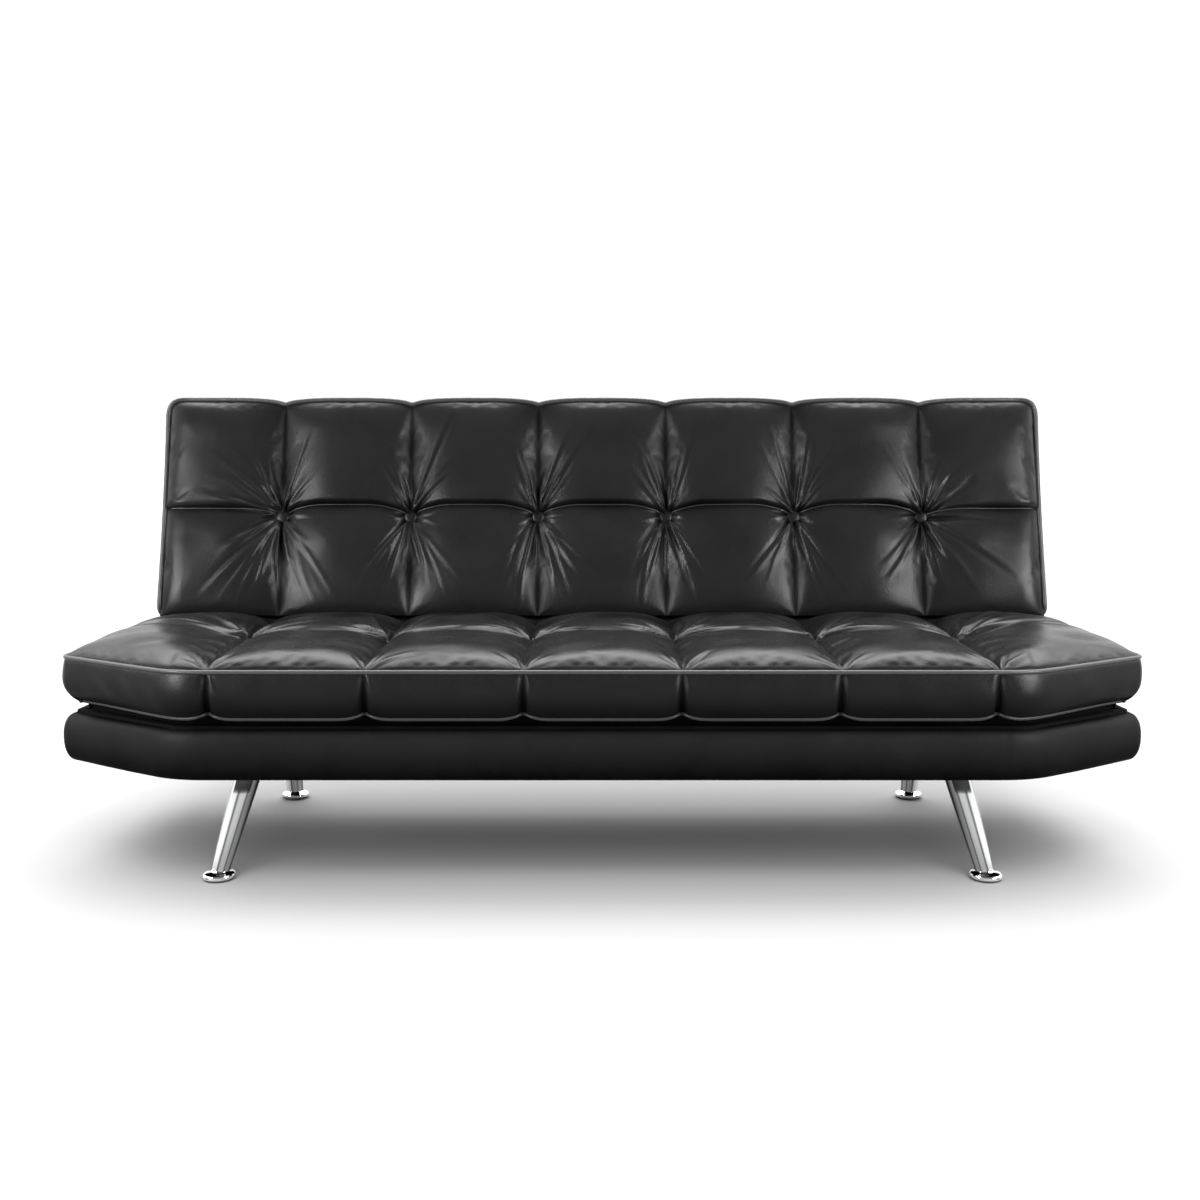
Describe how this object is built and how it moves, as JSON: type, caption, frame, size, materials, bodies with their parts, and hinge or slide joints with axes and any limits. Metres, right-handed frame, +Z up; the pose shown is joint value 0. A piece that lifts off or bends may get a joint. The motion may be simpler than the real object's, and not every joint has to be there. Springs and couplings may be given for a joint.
{
  "type": "futon sofa bed",
  "caption": "Click-clack sofa bed: button-tufted black leather seat and fold-flat backrest on a padded base with splayed chrome legs.",
  "frame": {"origin": "on the floor, under the middle of the whole sofa's box with the backrest up", "axes": "+X along the sofa's width, +Y from front to back, +Z up; the seat faces -Y"},
  "size_m": [1.805, 0.7904, 0.7907],
  "materials": {
    "leather": "soft semi-gloss black leather, fine grain",
    "piping": "black leather over cord and buttons, slightly glossier",
    "chrome": "polished chrome",
    "timber": "planed softwood, unfinished",
    "plywood": "plywood, unfinished",
    "black_steel": "satin black paint",
    "zinc_steel": "zinc-plated steel",
    "dust_cloth": "black spun cloth",
    "glide": "matte black plastic"
  },
  "bodies": {
    "base": {"front_rail": "timber", "front_band": "leather", "right_corner_rail": "timber", "right_corner_band": "leather", "right_side_rail": "timber", "right_side_band": "leather", "rear_rail": "timber", "rear_band": "leather", "left_side_rail": "timber", "left_side_band": "leather", "left_corner_rail": "timber", "left_corner_band": "leather", "left_leg_board": "timber", "right_leg_board": "timber", "centre_rail": "timber", "seat_deck": "plywood", "dust_cover": "dust_cloth", "seat_pad": "leather", "seat_piping_upper": "piping", "seat_piping_lower": "piping", "front_left_leg": "chrome", "front_left_leg_plate": "black_steel", "front_left_leg_glide": "glide", "front_right_leg": "chrome", "front_right_leg_plate": "black_steel", "front_right_leg_glide": "glide", "rear_left_leg": "chrome", "rear_left_leg_plate": "black_steel", "rear_left_leg_glide": "glide", "rear_right_leg": "chrome", "rear_right_leg_plate": "black_steel", "rear_right_leg_glide": "glide", "left_hinge_bracket": "black_steel", "left_hinge_pin": "zinc_steel", "left_pawl_pin": "zinc_steel", "left_pawl_spring": "zinc_steel", "right_hinge_bracket": "black_steel", "right_hinge_pin": "zinc_steel", "right_pawl_pin": "zinc_steel", "right_pawl_spring": "zinc_steel"},
    "backrest": {"back_pad": "leather", "back_piping": "piping", "back_top_rail": "timber", "back_bottom_rail": "timber", "back_left_stile": "timber", "back_right_stile": "timber", "back_tie_rail": "timber", "back_panel": "leather", "back_button_1": "piping", "back_button_2": "piping", "back_button_3": "piping", "back_button_4": "piping", "back_button_5": "piping", "back_button_6": "piping", "left_hinge_arm": "zinc_steel", "left_ratchet": "zinc_steel", "right_hinge_arm": "zinc_steel", "right_ratchet": "zinc_steel"},
    "left_pawl": {"left_pawl": "zinc_steel"},
    "right_pawl": {"right_pawl": "zinc_steel"}
  },
  "joints": [
    {"name": "recline", "type": "hinge", "parent": "base", "child": "backrest", "pos_m": [0, 0.21221, 0.285], "axis": [-1, 0, 0], "range_deg": [-5, 73.2]},
    {"name": "left_pawl_lift", "type": "hinge", "parent": "base", "child": "left_pawl", "pos_m": [-0.7875, 0.24321, 0.255], "axis": [1, 0, 0], "range_deg": [0, 10], "stiffness_Nm_per_rad": 0.5, "springref_deg": -5.73},
    {"name": "right_pawl_lift", "type": "hinge", "parent": "base", "child": "right_pawl", "pos_m": [0.7875, 0.24321, 0.255], "axis": [1, 0, 0], "range_deg": [0, 10], "stiffness_Nm_per_rad": 0.5, "springref_deg": -5.73}
  ]
}
